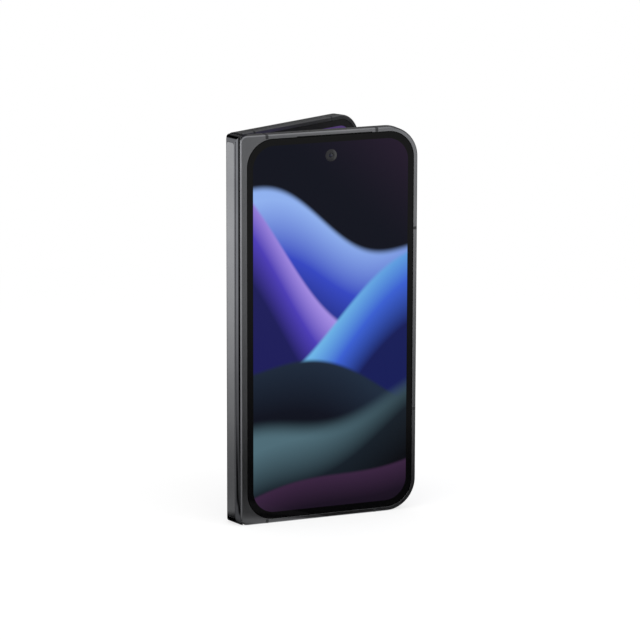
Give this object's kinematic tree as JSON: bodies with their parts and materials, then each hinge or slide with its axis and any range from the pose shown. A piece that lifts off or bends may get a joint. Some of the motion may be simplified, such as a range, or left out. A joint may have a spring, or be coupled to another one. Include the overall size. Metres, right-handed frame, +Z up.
{
  "type": "foldable smartphone",
  "caption": "Book-style foldable phone standing half open: two thin halves on a dual-axis hinge spine, outer display, folding inner display, raised camera island",
  "frame": {"origin": "centre of the cover half's bottom edge, on the surface that the phone stands on", "axes": "+Z up the phone, -Y out of the outer display, +X from the hinge to the cover half's free edge"},
  "size_m": [0.0777, 0.0434, 0.1552],
  "materials": {
    "frame_metal": "polished black anodised, satin face",
    "break_plastic": "moulded",
    "cover_glass": "polished",
    "rear_glass": "satin etched, black behind",
    "display_panel": "lit panel",
    "inner_panel": "flexible panel under protective film",
    "trim_plastic": "moulded",
    "lens_black": "gloss",
    "mesh_black": "woven, blackened",
    "sounder_plastic": "moulded",
    "battery_foil": "laminated foil pouch",
    "board_green": "solder mask",
    "shield_steel": "stamped",
    "plate_metal": "stamped",
    "hinge_steel": "machined",
    "island_metal": "satin anodised",
    "window_glass": "polished",
    "flash_lens": "moulded",
    "coil_copper": "wound copper",
    "socket_steel": "drawn",
    "spine_gloss": "polished black anodised",
    "spine_satin": "satin blasted"
  },
  "bodies": {
    "cover_half": {"cover_frame": "frame_metal", "cover_antenna_breaks": "break_plastic", "cover_glass": "cover_glass", "cover_display": "display_panel", "front_camera": "lens_black", "earpiece_mesh": "mesh_black", "earpiece_receiver": "sounder_plastic", "cover_battery": "battery_foil", "cover_board": "board_green", "cover_board_shields": "shield_steel", "vibration_motor": "shield_steel", "card_reader": "shield_steel", "cover_midplate": "plate_metal", "cover_inner_panel": "inner_panel", "cover_inner_trim": "trim_plastic", "cover_hinge_arms": "hinge_steel", "cover_arm_screws": "hinge_steel"},
    "spine": {"spine_cover": "spine_gloss", "spine_strip": "spine_satin", "spine_end_caps": "spine_gloss", "hinge_blocks": "hinge_steel", "fold_strip": "inner_panel"},
    "camera_half": {"camera_frame": "frame_metal", "camera_antenna_breaks": "break_plastic", "rear_glass": "rear_glass", "camera_island": "island_metal", "window_strips": "window_glass", "wide_camera": "lens_black", "ultrawide_camera": "lens_black", "tele_camera": "lens_black", "flash_module": "flash_lens", "camera_battery": "battery_foil", "main_board": "board_green", "main_board_shields": "shield_steel", "charging_coil": "coil_copper", "charging_socket": "socket_steel", "loudspeaker": "sounder_plastic", "top_speaker": "sounder_plastic", "key_switches": "shield_steel", "camera_midplate": "plate_metal", "camera_inner_panel": "inner_panel", "camera_inner_trim": "trim_plastic", "inner_camera": "lens_black", "camera_hinge_arms": "hinge_steel", "camera_arm_screws": "hinge_steel"},
    "power_button": {"power_button": "frame_metal"},
    "volume_rocker": {"volume_rocker": "frame_metal"},
    "card_tray": {"card_tray": "frame_metal"}
  },
  "joints": [
    {"name": "spine_hinge", "type": "hinge", "parent": "cover_half", "child": "spine", "pos_m": [-0.03665, 0.00155, 0], "axis": [0, 0, 1], "range_deg": [-13.5, 76.5], "deforming": ["fold_strip"]},
    {"name": "camera_hinge", "type": "hinge", "parent": "spine", "child": "camera_half", "pos_m": [-0.03719, 0.00379, 0], "axis": [0, 0, 1], "range_deg": [-13.5, 76.5]},
    {"name": "power_press", "type": "slide", "parent": "camera_half", "child": "power_button", "axis": [-0.891, -0.454, 0], "range_m": [0, 0.0003], "stiffness_N_per_m": 3000},
    {"name": "volume_rock", "type": "hinge", "parent": "camera_half", "child": "volume_rocker", "pos_m": [0.0261, 0.03773, 0.08], "axis": [-0.454, 0.891, 0], "range_deg": [-1, 1], "stiffness_Nm_per_rad": 0.8},
    {"name": "tray_slide", "type": "slide", "parent": "cover_half", "child": "card_tray", "axis": [1, 0, 0], "range_m": [0, 0.022]}
  ],
  "couplings": [
    {"joint": "camera_hinge", "follows": "spine_hinge", "ratio": 1}
  ]
}
